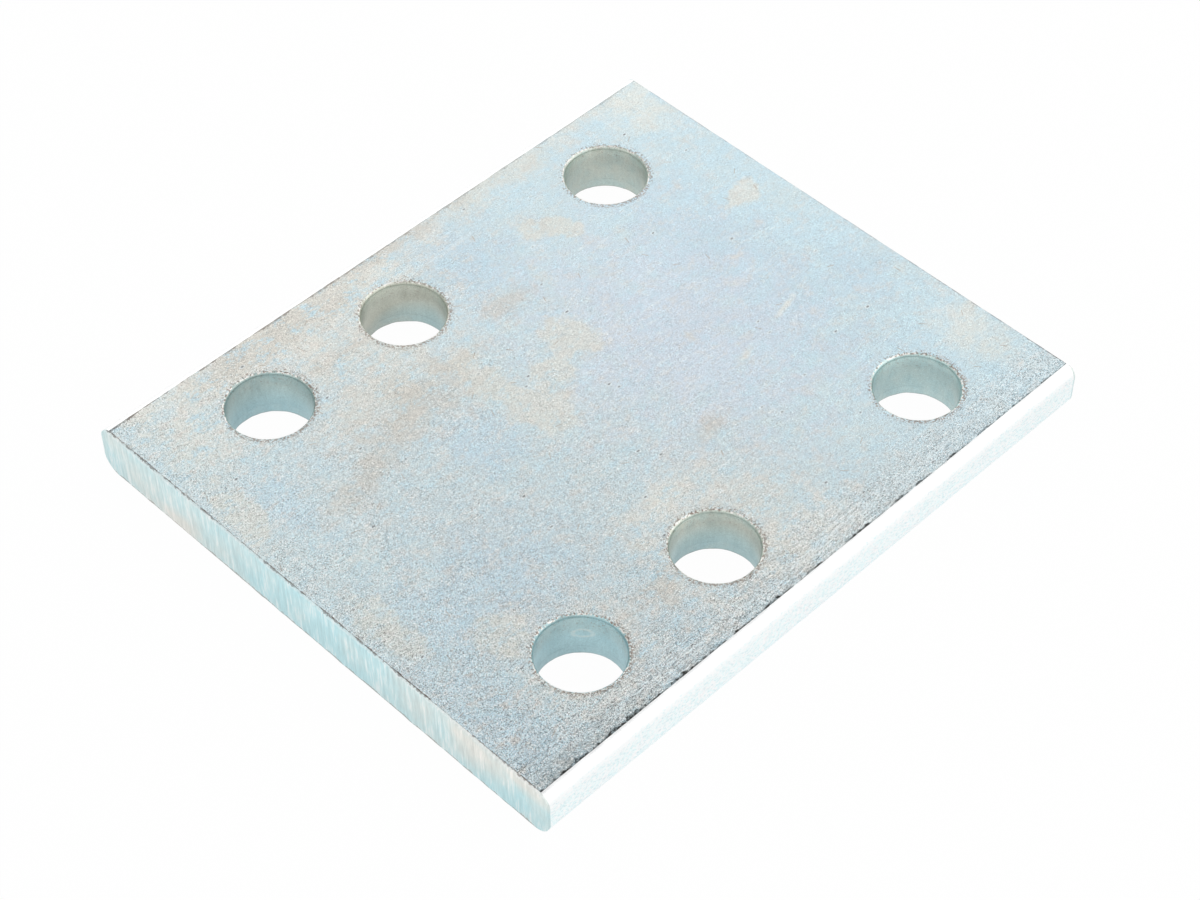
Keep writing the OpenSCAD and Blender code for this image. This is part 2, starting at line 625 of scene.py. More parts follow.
class NodeBench:
    """Adds nodes to one shader tree. An input is a plain value or a wire from another node."""

    def __init__(self, tree):
        self.tree = tree

    def add(self, kind, inputs=None, **settings):
        """Adds a node, and gives its wires by name."""
        node = self.tree.nodes.new(kind)
        for name, value in settings.items():
            setattr(node, name, value)
        for name, value in (inputs or {}).items():
            self.feed(node.inputs[name], value)
        return {socket.name: Wire(self, socket) for socket in node.outputs if socket.enabled}

    def wire(self, kind, inputs=None, **settings):
        """Adds a node, and gives its first wire."""
        return next(iter(self.add(kind, inputs, **settings).values()))

    def feed(self, socket, value):
        if isinstance(value, Wire):
            self.tree.links.new(value.socket, socket)
        else:
            socket.default_value = value

    def math(self, operation, a, b=0.0):
        return self.wire("ShaderNodeMath", {0: a, 1: b}, operation=operation)

    def vector(self, operation, a, b=(0.0, 0.0, 0.0)):
        return self.wire("ShaderNodeVectorMath", {0: a, 1: b}, operation=operation)

    def length(self, vector):
        return self.wire("ShaderNodeVectorMath", {0: vector}, operation="LENGTH")

    def axes(self, vector):
        return self.add("ShaderNodeSeparateXYZ", {0: vector}).values()

    def channels(self, color):
        return self.add("ShaderNodeSeparateColor", {0: color}).values()

    def combine(self, x, y, z=0.0):
        return self.wire("ShaderNodeCombineXYZ", {"X": x, "Y": y, "Z": z})

    def along_bar(self, place, share):
        """A place for a pattern that is drawn out along the bar: the lower the share, the longer."""
        return self.vector("MULTIPLY", place, (1.0, share, 1.0))

    def noise(self, vector, size, detail, roughness, output="Fac"):
        """Noise with features of this size, in metres."""
        inputs = {"Vector": vector, "Scale": 1 / size, "Detail": detail, "Roughness": roughness}
        return self.add("ShaderNodeTexNoise", inputs)[output]

    def cells(self, vector, size, **settings):
        """A loose net with cells of this size, in metres."""
        return self.add("ShaderNodeTexVoronoi", {"Vector": vector, "Scale": 1 / size}, **settings)

    def chance(self, vector, size):
        """A random value from -1 to 1 for each cell of a loose net."""
        value, _, _ = self.channels(self.cells(vector, size)["Color"])
        return self.ramp(value, 0.0, 1.0, -1.0, 1.0, "LINEAR")

    def ramp(self, value, low, high, to_low=0.0, to_high=1.0, shape="SMOOTHSTEP"):
        """Carries low..high over to to_low..to_high, and holds the ends."""
        inputs = {"Value": value, "From Min": low, "From Max": high, "To Min": to_low, "To Max": to_high}
        return self.wire("ShaderNodeMapRange", inputs, interpolation_type=shape)

    def spread(self, noise, to_low, to_high, shape="SMOOTHSTEP"):
        """Carries the usual range of a noise over to to_low..to_high."""
        return self.ramp(noise, NOISE_LOW, NOISE_HIGH, to_low, to_high, shape)

    def mix(self, factor, a, b):
        return self.wire("ShaderNodeMix", {0: factor, 6: a, 7: b}, data_type="RGBA")

    def shade(self, color, level):
        """A colour at this level of brightness, where 1 leaves it as it is."""
        return self.vector("MULTIPLY", color, self.combine(level, level, level))

    def use(self, group, place):
        """Places one of the shared effects, and gives its wires by name."""
        return self.add("ShaderNodeGroup", {"Place": place}, node_tree=group)


def new_group(name, outputs):
    """An empty shader node group with a Place input: its tree, bench, place and the outputs to feed."""
    tree = bpy.data.node_groups.new(name, "ShaderNodeTree")
    tree.interface.new_socket("Place", in_out="INPUT", socket_type="NodeSocketVector")
    for output in outputs:
        tree.interface.new_socket(output, in_out="OUTPUT", socket_type="NodeSocketFloat")
    bench = NodeBench(tree)
    place = bench.wire("NodeGroupInput")
    results = tree.nodes.new("NodeGroupOutput").inputs
    return tree, bench, place, results


def new_finish(name):
    """A material with an empty tree, its bench and the place on the plate."""
    material = bpy.data.materials.new(name)
    material.use_nodes = True
    material.node_tree.nodes.clear()
    bench = NodeBench(material.node_tree)
    return material, bench, bench.add("ShaderNodeTexCoord")["Object"]


def bare_metal(bench, color, roughness, height, depth):
    """Ends a finish: metal of this colour and roughness, with a relief of this depth."""
    relief = bench.wire("ShaderNodeBump", {"Height": height, "Distance": depth, "Strength": 1.0})
    inputs = {"Base Color": color, "Metallic": 1.0, "Roughness": roughness, "Normal": relief}
    bench.add("ShaderNodeOutputMaterial", {"Surface": bench.wire("ShaderNodeBsdfPrincipled", inputs)})


# Effects that the finishes share

# Rolling grain: sizes across the bar, shares that draw it out along the bar, and weights
GRAIN_SWAY = 0.7 * MM
GRAIN_SWAY_SIZE = 2.5 * MM
STROKE_SIZE = 0.12 * MM
STROKE_DRAWN = 0.14
STROKE_WEIGHT = 0.7
GRIT_SIZE = 0.11 * MM
GRIT_WEIGHT = 4.0
TONE_LIMIT = 3.2
STREAK_SIZE = 0.26 * MM
STREAK_DRAWN = 0.06
RELIEF_SIZE = 0.16 * MM
RELIEF_DRAWN = 0.5
HUE_SIZE = 2.2 * MM
HUE_DRAWN = 0.6

# Slow drift of the lines of dirt, and the streaks of shear and punch
DRIFT_SIZE = 5 * MM
FINE_DRAG_SIZE = 0.7 * MM
FINE_DRAG_DRAWN = 0.10
BROAD_DRAG_SIZE = 11 * MM
BROAD_DRAG_DRAWN = 0.8


def grain_group():
    """Fine rolling grain: short strokes and grit, mostly faint with some strong specks, streaks and hue."""
    tree, bench, place, results = new_group("rolling_grain", ("Height", "Tone", "Streak", "Hue"))
    wander = bench.noise(place, GRAIN_SWAY_SIZE, 2.0, 0.5, "Color")
    sway = bench.vector("SUBTRACT", wander, (0.5, 0.5, 0.5))
    swayed = bench.vector("ADD", place, bench.vector("MULTIPLY", sway, (GRAIN_SWAY, 0.0, 0.0)))
    strokes = bench.chance(bench.along_bar(swayed, STROKE_DRAWN), STROKE_SIZE)
    grit = bench.chance(place, GRIT_SIZE)
    tone = strokes * strokes * strokes * STROKE_WEIGHT + grit * grit * grit * GRIT_WEIGHT
    tone = bench.ramp(tone, -TONE_LIMIT, TONE_LIMIT, -TONE_LIMIT, TONE_LIMIT, "LINEAR")
    bench.feed(results["Tone"], tone)
    bench.feed(results["Streak"], bench.chance(bench.along_bar(swayed, STREAK_DRAWN), STREAK_SIZE))
    bench.feed(results["Height"], bench.noise(bench.along_bar(swayed, RELIEF_DRAWN), RELIEF_SIZE, 1.0, 0.5))
    bench.feed(results["Hue"], bench.noise(bench.along_bar(swayed, HUE_DRAWN), HUE_SIZE, 5.0, 0.75))
    return tree


def ragged_sway(bench, place, size, reach, drift_low, drift_high):
    """How far a line of dirt strays: by reach in ragged marks of this size, and by a slow drift."""
    ragged = bench.spread(bench.noise(place, size, 3.0, 0.7), -reach, reach, "LINEAR")
    return ragged + bench.ramp(bench.noise(place, DRIFT_SIZE, 3.0, 0.6), 0.4, 0.6, drift_low, drift_high)


def crease_group():
    """Distances in from the rolled creases and from the sheared ends, with a ragged sway."""
    tree, bench, place, results = new_group("crease_distance", ("Edge", "End"))
    x, y, _ = bench.axes(place)
    sway = ragged_sway(bench, place, 0.7 * MM, 0.12 * MM, 0.1 * MM, -0.1 * MM)
    bench.feed(results["Edge"], CREASE_X - abs(x) + sway * 2.0)
    bench.feed(results["End"], CREASE_Y - abs(y) + sway * 0.8)
    return tree


def rim_group():
    """Distance outwards from the rim of the nearest hole, and how far a point lies on its right, -1 to 1."""
    tree, bench, place, results = new_group("rim_distance", ("Out", "Side"))
    x, y, _ = bench.axes(place)
    across = abs(x) - HOLE_COLUMN
    nearest = HALF_LENGTH
    for row in HOLE_ROWS:
        nearest = bench.math("MINIMUM", nearest, bench.length(bench.combine(across, y - row)))
    bench.feed(results["Out"], nearest - RIM_RADIUS)
    bench.feed(results["Side"], across * bench.math("SIGN", x) / RIM_RADIUS)
    return tree


def streak_group():
    """Streaks down the thickness that a shear or a punch drags through the metal."""
    tree, bench, place, results = new_group("drag_streaks", ("Fine", "Broad"))
    fine = bench.vector("MULTIPLY", place, (1.0, 1.0, FINE_DRAG_DRAWN))
    broad = bench.vector("MULTIPLY", place, (1.0, 1.0, BROAD_DRAG_DRAWN))
    bench.feed(results["Fine"], bench.noise(fine, FINE_DRAG_SIZE, 3.0, 0.7))
    bench.feed(results["Broad"], bench.noise(broad, BROAD_DRAG_SIZE, 5.0, 0.6))
    return tree


# Rolled faces

# Spans over which the face changes, along the bar (Y) or across it (X)
CYAN_SPAN = (0.0, 60 * MM)
GLEAM_SPAN = (-44 * MM, -64 * MM)
VIVID_SPAN = (40 * MM, -30 * MM)
VIVID_SIDE_SPAN = (20 * MM, 50 * MM)
GRAIN_SPAN = (30 * MM, -76 * MM)
GRAIN_SIDE_SPAN = (-40 * MM, 50 * MM)
STRIP_SPAN = (-15 * MM, -74 * MM)
STRIP_REACH_SPAN = (-45 * MM, -75 * MM)

# Spans towards the near corner (X - Y)
PITTED_SPAN = (60 * MM, 130 * MM)
CORNER_GRAIN_SPAN = (70 * MM, 130 * MM)
WORKED_SPAN = (0.0, 100 * MM)
DIRT_SPAN = (-120 * MM, 80 * MM)
DIRT_REACH_SPAN = (60 * MM, 125 * MM)

# Sizes and reaches of the face's clouds and marks
BROAD_CLOUD_SIZE = 40 * MM
BROAD_CLOUD_SHIFT = 35 * MM
CLOUD_SIZE = 9 * MM
LOOSE_STAIN_SIZE = 24 * MM
STAIN_FRAY_SIZE = 6 * MM
RIM_SPECKLE_SIZE = 0.5 * MM
RIM_DIRT_REACH = 1.3 * MM
PIT_SPACING = 1.9 * MM
PIT_DRAWN = 0.55
DASH_SPACING = 8 * MM
DASH_HALF_WIDTH = 0.09 * MM
DASH_HALF_LENGTH = 0.8 * MM
DASH_SHARE = 0.45
HAIRLINE_SIZE = 2.6 * MM
HAIRLINE_DRAWN = 0.05
HAIRLINE_PATCH_SIZE = 14 * MM
GRAIN_PATCH_SIZE = 5 * MM
WORKED_BAND = (13 * MM, 2 * MM)
ROLL_MARK_INSET = 3.4 * MM
ROLL_MARK_HALF = (1.0 * MM, 0.2 * MM)
STRIP_REACH = (2.8 * MM, 8.0 * MM)
BROKEN_DIRT_SIZE = 1.0 * MM
SWELLING_SIZE = 1.4 * MM
EDGE_DIRT_REACH = (0.40 * MM, 0.80 * MM)
END_DIRT_REACH = 0.16 * MM
FACE_ROUGHNESS = (0.37, 0.45)
FACE_RELIEF = 0.06 * MM


def stain_field(bench, place, stains):
    """Field of a list of stains: 1 in their middles, a half on their borders and 0 well outside."""
    field = 0.0
    for x, y, half_width, half_length, turn in stains:
        local = bench.wire("ShaderNodeMapping", {
            "Vector": place,
            "Location": (x * MM, y * MM, THICKNESS),
            "Rotation": (0.0, 0.0, math.radians(turn)),
            "Scale": (half_width * MM, half_length * MM, 1.0),
        }, vector_type="TEXTURE")
        spot = bench.ramp(bench.length(local), 0.0, 2.0, 1.0, 0.0, "LINEAR")
        field = bench.math("MAXIMUM", field, spot)
    return field


def clouded_zinc(bench, place, cloud):
    """Passivated zinc: cyan towards the far end, with pale clouds over it."""
    _, y, _ = bench.axes(place)
    broad = bench.noise(place, BROAD_CLOUD_SIZE, 3.0, 0.55)
    farness = y + bench.spread(broad, -BROAD_CLOUD_SHIFT, BROAD_CLOUD_SHIFT, "LINEAR")
    color = bench.mix(bench.ramp(farness, *CYAN_SPAN), ZINC_PLAIN, ZINC_CYAN)
    return bench.mix(bench.ramp(cloud, 0.40, 0.70, 0.0, 0.8), color, ZINC_PALE)


def lay_stains(bench, place, upper, color):
    """Lays on the stains: placed ones on the upper face, and loose ones on the lower face."""
    loose = bench.ramp(bench.noise(place, LOOSE_STAIN_SIZE, 2.0, 0.5), 0.3, 0.8, 0.0, 0.9) * (1.0 - upper)
    ragged = bench.ramp(bench.noise(place, STAIN_FRAY_SIZE, 4.0, 0.6), 0.2, 0.8, -0.75, 0.75, "LINEAR")
    for stains, tint, soft, share, fray in FACE_STAINS:
        field = stain_field(bench, place, stains) * upper + loose + ragged * fray
        color = bench.mix(bench.ramp(field, 0.5 - soft, 0.5 + soft, 0.0, share), color, tint)
    return color


def tint_grain(bench, place, hue, color):
    """Makes the near end lighter and cooler, and gives the grain cool and warm specks."""
    x, y, _ = bench.axes(place)
    gleam = bench.mix(bench.ramp(y, *GLEAM_SPAN), WHITE, NEAR_GLEAM)
    color = bench.vector("MULTIPLY", color, gleam)
    beside = bench.ramp(abs(x), *VIVID_SIDE_SPAN, 0.5, 0.75)
    vivid = bench.ramp(y, *VIVID_SPAN, 0.36, beside)
    for limit, tint in ((0.34, GRAIN_COOL), (0.66, GRAIN_WARM)):
        color = bench.mix(bench.ramp(hue, 0.50, limit) * vivid, color, tint)
    return color


def dirty_rims(bench, place, rim, color):
    """Speckles the face with dirt round the punched rims, more on their right."""
    speckle = bench.noise(place, RIM_SPECKLE_SIZE, 1.0, 0.5)
    ring = bench.ramp(rim["Out"], RIM_DIRT_REACH, 0.0, 0.0, 0.09, "LINEAR")
    side = bench.ramp(rim["Side"], -0.8, 0.9, -0.04, 0.06)
    dirt = bench.ramp(speckle + ring + side, 0.58, 0.67, 0.0, 0.75)
    return bench.mix(dirt * bench.ramp(rim["Out"], RIM_DIRT_REACH, 0.4 * MM), color, RIM_DIRT)


def pit_masks(bench, place):
    """Masks of the pits and of the painted highlights round them, in some cells of a net."""
    x, y, _ = bench.axes(place)
    cells = bench.cells(bench.along_bar(place, PIT_DRAWN), PIT_SPACING)
    chance, _, _ = bench.channels(cells["Color"])
    pitted = bench.ramp(chance + bench.ramp(x - y, *PITTED_SPAN, 0.0, 0.15), 0.88, 0.92)
    pits = pitted * bench.ramp(cells["Distance"], 0.15, 0.07)
    pit_highlights = pitted * bench.ramp(cells["Distance"], 0.27, 0.18, 0.0, 0.5)
    return pits, pit_highlights


def dashes(bench, place):
    """Short scratches in all directions, in a share of the cells of a net: their mask and a chance."""
    flat = bench.vector("MULTIPLY", place, (1.0, 1.0, 0.0))
    cells = bench.cells(flat, DASH_SPACING, voronoi_dimensions="2D")
    turn, here, kind = bench.channels(cells["Color"])
    inputs = {"Vector": bench.vector("SUBTRACT", flat, cells["Position"]), "Angle": turn * math.pi}
    turned = bench.wire("ShaderNodeVectorRotate", inputs, rotation_type="Z_AXIS")
    across, along, _ = bench.axes(bench.vector("ABSOLUTE", turned))
    mask = bench.ramp(across, 1.5 * DASH_HALF_WIDTH, 0.5 * DASH_HALF_WIDTH)
    mask = mask * bench.ramp(along, 1.3 * DASH_HALF_LENGTH, 0.7 * DASH_HALF_LENGTH)
    return mask * bench.ramp(here, 1 - DASH_SHARE, 1.01 - DASH_SHARE), kind


def scratch(bench, place, color):
    """Adds short scratches, light and brown, and light hairlines along the bar."""
    scratched, kind = dashes(bench, place)
    tint = bench.mix(bench.ramp(kind, 0.45, 0.55), DASH_BROWN, PALE_MARK_AND_HIGHLIGHT)
    color = bench.mix(scratched * 0.7, color, tint)
    scored = bench.noise(bench.along_bar(place, HAIRLINE_DRAWN), HAIRLINE_SIZE, 1.0, 0.5)
    hairline = bench.ramp(abs(scored - 0.5), 0.012, 0.003)
    sparse = bench.ramp(bench.noise(place, HAIRLINE_PATCH_SIZE, 2.0, 0.5), 0.54, 0.66, 0.0, 0.4)
    return bench.mix(hairline * sparse, color, PALE_MARK_AND_HIGHLIGHT)


def shade_grain(bench, place, grain, color):
    """Shades the face by its grain, stronger towards the near end and along the right edge."""
    x, y, _ = bench.axes(place)
    band = bench.ramp(CREASE_X - x, *WORKED_BAND)
    contrast = bench.ramp(y, *GRAIN_SPAN, 0.11, 0.28, "LINEAR")
    contrast = contrast * bench.ramp(x, *GRAIN_SIDE_SPAN, 0.8, 1.1, "LINEAR") + band * 0.20
    contrast = contrast + bench.ramp(x - y, *CORNER_GRAIN_SPAN, 0.0, 0.06)
    uneven = bench.spread(bench.noise(place, GRAIN_PATCH_SIZE, 3.0, 0.6), 0.7, 1.3, "LINEAR")
    worked = band * bench.ramp(x - y, *WORKED_SPAN, 0.05, 0.26)
    return bench.shade(color, grain["Tone"] * (contrast * uneven) + 1.0 + grain["Streak"] * worked)


def mark_right_side(bench, place, tone, upper, color):
    """A pale roll mark, and a darker band between it and the right crease, partly worked metal and partly
    painted shade.
    """
    x, y, _ = bench.axes(place)
    inside = CREASE_X - x
    mark = bench.ramp(abs(inside - ROLL_MARK_INSET), *ROLL_MARK_HALF)
    mark = mark * bench.ramp(tone, -0.6, 0.6, 0.1, 0.6)
    color = bench.mix(mark * upper, color, PALE_MARK_AND_HIGHLIGHT)
    reach = bench.ramp(y, *STRIP_REACH_SPAN, *STRIP_REACH)
    # A darker band, strongest towards the near end: partly worked metal, partly painted shade
    strip_and_shade = bench.ramp(inside, reach, 0.2 * MM) * upper * bench.ramp(y, *STRIP_SPAN, 0.12, 0.85)
    return bench.mix(strip_and_shade * bench.ramp(tone, 0.5, -0.5, 0.25, 1.0), color, DARK_STRIP_AND_SHADE)


def dirty_creases(bench, place, crease, upper, color):
    """Ragged dirt in the creases, dark along the right edge and heaviest at the near corner."""
    x, y, _ = bench.axes(place)
    broken = bench.ramp(bench.noise(place, BROKEN_DIRT_SIZE, 2.0, 0.6), 0.35, 0.6, 0.45, 1.0)
    weight = bench.ramp(x - y, *DIRT_SPAN, 0.3, 1.0) * upper * broken
    edge_dirt = bench.mix(bench.math("GREATER_THAN", x, 0.0), CREASE_DIRT, CREASE_DARK)
    swelling = bench.ramp(bench.noise(place, SWELLING_SIZE, 3.0, 0.65), 0.38, 0.62, 0.2, 1.4)
    edge_reach = bench.ramp(x - y, *DIRT_REACH_SPAN, *EDGE_DIRT_REACH) * swelling
    for name, reach, tint in (("Edge", edge_reach, edge_dirt), ("End", END_DIRT_REACH, CREASE_DIRT)):
        color = bench.mix(bench.ramp(crease[name], reach, reach * 0.6) * weight, color, tint)
    return color


def rolled_face_finish(effects):
    """The broad faces: clouded zinc over rolling grain, with stains, pits, scratches and dirty rims, painted
    shade in the pits, painted highlights round them and partly painted shade along the right crease.
    """
    material, bench, place = new_finish("rolled_face")
    grain = bench.use(effects["grain"], place)
    _, _, z = bench.axes(place)
    upper = bench.ramp(z, THICKNESS * 0.4, THICKNESS * 0.6)
    cloud = bench.noise(place, CLOUD_SIZE, 6.0, 0.65)
    pits, pit_highlights = pit_masks(bench, place)

    color = clouded_zinc(bench, place, cloud)
    color = lay_stains(bench, place, upper, color)
    color = tint_grain(bench, place, grain["Hue"], color)
    color = dirty_rims(bench, place, bench.use(effects["rim"], place), color)
    # Painted highlights round the pits, and painted shade in them
    color = bench.mix(pit_highlights, color, PALE_MARK_AND_HIGHLIGHT)
    color = bench.mix(pits * 0.8, color, PIT_SHADE)
    color = scratch(bench, place, color)
    color = shade_grain(bench, place, grain, color)
    color = mark_right_side(bench, place, grain["Tone"], upper, color)
    color = dirty_creases(bench, place, bench.use(effects["crease"], place), upper, color)

    height = grain["Height"] * 0.3 - pits * 0.6
    bare_metal(bench, color, bench.spread(cloud, *FACE_ROUGHNESS), height, FACE_RELIEF)
    return material


# Rolled edges

EDGE_PATCH_SIZE = 0.7 * MM
EDGE_PATCH_DRAWN = 0.6
EDGE_PATCH_SHIFT = 2.2 * MM
EDGE_SPECK_SIZE = 0.24 * MM
EDGE_SPECK_DRAWN = 0.5
EDGE_BAND = (1.5 * MM, 6.0 * MM)
# Heights over which the edge turns to a painted highlight in white
EDGE_HIGHLIGHT_SPAN = (8.2 * MM, 11.0 * MM)
EDGE_ROUGHNESS = (0.32, 0.42)
EDGE_RELIEF = 0.03 * MM


def rolled_edge_finish(effects):
    """The rolled edges: a painted highlight in white above, with a grainy pale cyan band below."""
    material, bench, place = new_finish("rolled_edge")
    grain = bench.use(effects["grain"], place)
    _, _, z = bench.axes(place)
    patchy = bench.noise(bench.along_bar(place, EDGE_PATCH_DRAWN), EDGE_PATCH_SIZE, 3.0, 0.7)
    level = z + bench.ramp(patchy, 0.25, 0.75, -EDGE_PATCH_SHIFT, EDGE_PATCH_SHIFT, "LINEAR")
    color = bench.mix(bench.ramp(z, *EDGE_BAND), EDGE_LOW, EDGE_CYAN)
    color = bench.mix(bench.ramp(grain["Hue"], 0.52, 0.66), color, EDGE_PINK)
    speck = bench.chance(bench.along_bar(place, EDGE_SPECK_DRAWN), EDGE_SPECK_SIZE)
    color = bench.mix(bench.ramp(speck, -0.2, -1.0, 0.0, 0.6), color, EDGE_DIM)
    color = bench.mix(bench.ramp(speck, 0.0, 0.7), color, HIGHLIGHT_AND_SPECK_WHITE)
    # The upper part of the edge is a painted highlight in white
    color = bench.mix(bench.ramp(level, *EDGE_HIGHLIGHT_SPAN), color, HIGHLIGHT_AND_SPECK_WHITE)
    bare_metal(bench, color, bench.spread(patchy, *EDGE_ROUGHNESS), grain["Height"], EDGE_RELIEF)
    return material


# Sheared ends

# Beige parts: middle X and Z, half width, half height in mm, and strength
END_BEIGES = [
    (-44, 6, 24, 14, 0.5),
    (-41, 1.5, 7, 3.5, 1.1),
    (31, 8, 12, 8, 0.62),
    (46, 8.5, 8, 5.5, 0.95),
    (58, 11, 9, 3, 0.9),
    (61, 5, 5, 6, 0.45),
]

# Painted highlight and scale below the upper edge, and dirt above the lower one
END_HIGHLIGHT_BAND = (0.7 * MM, 0.4 * MM)
END_SCALE = (0.12 * MM, 0.02 * MM)
END_FOOT = (0.45 * MM, 0.05 * MM)
END_ROUGHNESS = (0.36, 0.48)
END_RELIEF = 0.03 * MM


def beige_field(bench, x, z):
    """How far a place belongs to the beige parts of an end."""
    field = 0.0
    for middle, height, half_width, half_height, strength in END_BEIGES:
        across = (x - middle * MM) / (half_width * MM)
        up = (z - height * MM) / (half_height * MM)
        spot = bench.ramp(bench.length(bench.combine(across, up)), 0.0, 2.0, strength, 0.0, "LINEAR")
        field = bench.math("MAXIMUM", field, spot)
    return field


def sheared_end_finish(effects):
    """The sheared ends: cyan in the middle, beige and pinkish streaks beside it, darker towards the bottom
    as painted shade, a painted highlight under the upper edge and dirt along the edges.
    """
    material, bench, place = new_finish("sheared_end")
    x, _, z = bench.axes(place)
    streaks = bench.use(effects["streak"], place)
    fine = streaks["Fine"]
    beige = beige_field(bench, x, z) + bench.spread(streaks["Broad"], -0.24, 0.24, "LINEAR")
    color = bench.mix(bench.ramp(beige, 0.1, 0.8, 0.0, 1.0, "LINEAR"), END_CYAN, END_BEIGE)
    color = bench.mix(bench.ramp(fine, 0.52, 0.64, 0.0, 0.4), color, END_PINK)
    # Darker towards the bottom and lighter at the top: painted shade
    tone = bench.spread(fine, 0.82, 1.14, "LINEAR") * bench.ramp(z, 1 * MM, 11 * MM, 0.93, 1.03)
    color = bench.shade(color, tone)
    sway = ragged_sway(bench, place, 0.9 * MM, 0.25 * MM, -0.15 * MM, 0.1 * MM)
    depth = THICKNESS - (z + sway)
    # A painted highlight in white just under the drawn upper edge
    color = bench.mix(bench.ramp(depth, *END_HIGHLIGHT_BAND, 0.0, 0.35), color, HIGHLIGHT_AND_SPECK_WHITE)
    color = bench.mix(bench.ramp(z + sway * 1.5, *END_FOOT, 0.0, 0.6), color, RIM_DIRT)
    color = bench.mix(bench.ramp(depth, *END_SCALE, 0.0, 0.6), color, CREASE_DIRT)
    bare_metal(bench, color, bench.spread(fine, *END_ROUGHNESS), fine, END_RELIEF)
    return material


# Punched holes

# Tint of each hole's wall, from dull (0) over green to cyan (1), in rows from the near end to the far one
LEFT_TINTS = (0.70, 0.32, 0.22)
RIGHT_TINTS = (1.05, 0.42, 0.54)

# A dull patch on the wall of one hole, given like the stains
DULL_PATCHES = [(-53, -13, 6, 7, 0)]

# An oval scuff on one wall: its middle, and its half sizes along, through and up the wall, in mm
SCUFF_MIDDLE = (38.9, -41.4, 6.5)
SCUFF_HALF = (2.0, 4.0, 1.1)
SCUFF_TURN = math.radians(45)

# Spans along the bar that tell the near holes and the far ones from the rest
NEAR_HOLE_SPAN = (-40 * MM, -20 * MM)
FAR_HOLE_SPAN = (10 * MM, 30 * MM)

# Depths of the drawn rim, which is lifted by painted light, of its band of painted glints and dirt, and of
# its dirty crown, counted down from the upper face
DRAWN_SPAN = (0.9 * MM, 0.5 * MM)
GLINT_BAND_SPAN = (0.28 * MM, 0.18 * MM)
CROWN_SPAN = (0.05 * MM, -0.02 * MM)
GLINT_BEAD_SIZE = 0.8 * MM
WEAR_SWAY = 0.1 * MM
WEAR_SWAY_SIZE = 1.2 * MM
BORE_SPECK_SIZE = 0.5 * MM
BORE_PATCH_SIZE = 4 * MM
BORE_PATCH_SHIFT = 1.5 * MM
BORE_ROUGHNESS = (0.40, 0.52)
BORE_RELIEF = 0.02 * MM


def scuff_mask(bench, place):
    """The outline of the oval scuff."""
    local = bench.wire("ShaderNodeMapping", {
        "Vector": place,
        "Location": tuple(value * MM for value in SCUFF_MIDDLE),
        "Rotation": (0.0, 0.0, SCUFF_TURN),
        "Scale": tuple(value * MM for value in SCUFF_HALF),
    }, vector_type="TEXTURE")
    return bench.ramp(abs(bench.length(local) - 1.0), 0.34, 0.12)


def wall_tint(bench, x, y):
    """The tint of the hole that a place belongs to."""
    on_right = bench.math("GREATER_THAN", x, 0.0)
    total = 0.0
    for row, left, right in zip(HOLE_ROWS, LEFT_TINTS, RIGHT_TINTS):
        here = bench.math("LESS_THAN", abs(y - row), 1.5 * HOLE_RADIUS)
        total = total + here * bench.ramp(on_right, 0.0, 1.0, left, right, "LINEAR")
    return total


def wall_color(bench, place, far, patchy):
    """The wall's zinc, dull above and cyan below, with specks of dirt in its upper part."""
    x, y, z = bench.axes(place)
    level = z + bench.ramp(patchy, 0.2, 0.8, -BORE_PATCH_SHIFT, BORE_PATCH_SHIFT)
    swing = bench.ramp(level, 2 * MM, 9.5 * MM, 1.0, -1.0) * bench.ramp(far, 0.0, 1.0, 0.3, 0.04)
    flat = bench.vector("MULTIPLY", place, (1.0, 1.0, 0.0))
    dull = stain_field(bench, flat, DULL_PATCHES) * 0.5
    tint = wall_tint(bench, x, y) + swing - dull + bench.spread(patchy, -0.12, 0.12)
    color = bench.mix(bench.ramp(tint, 0.0, 0.5, 0.0, 1.0, "LINEAR"), BORE_DULL, BORE_GREEN)
    color = bench.mix(bench.ramp(tint, 0.5, 1.0, 0.0, 1.0, "LINEAR"), color, BORE_CYAN)
    specks = bench.ramp(bench.noise(place, BORE_SPECK_SIZE, 3.0, 0.7), 0.56, 0.66, 0.0, 0.6)
    return bench.mix(specks * bench.ramp(z, 5 * MM, 11 * MM), color, RIM_DIRT)


def wall_light_and_shade(bench, place, far, side):
    """Painted light and shade on the wall: lighter towards its rim and on its drawn rim, changed at its foot
    and on its left side.
    """
    _, y, z = bench.axes(place)
    painted_rim_light = bench.ramp(y, *NEAR_HOLE_SPAN, 1.06, 1.22)
    foot_light_and_shade = bench.ramp(far, 0.0, 1.0, 0.88, 1.04)
    flank_light_and_shade = bench.ramp(y, *NEAR_HOLE_SPAN, 0.92, bench.ramp(z, 3 * MM, 10 * MM, 0.95, 1.15))
    tone = bench.ramp(z, 8.5 * MM, 11.2 * MM, 1.0, painted_rim_light)
    tone = tone * bench.ramp(z, 7.5 * MM, 1.0 * MM, 1.0, foot_light_and_shade)
    tone = tone * bench.ramp(side, -0.7, -0.95, 1.0, flank_light_and_shade)
    # Lighter on the drawn rim: painted light
    return tone * bench.ramp(THICKNESS - z, *DRAWN_SPAN, 1.0, 1.10)


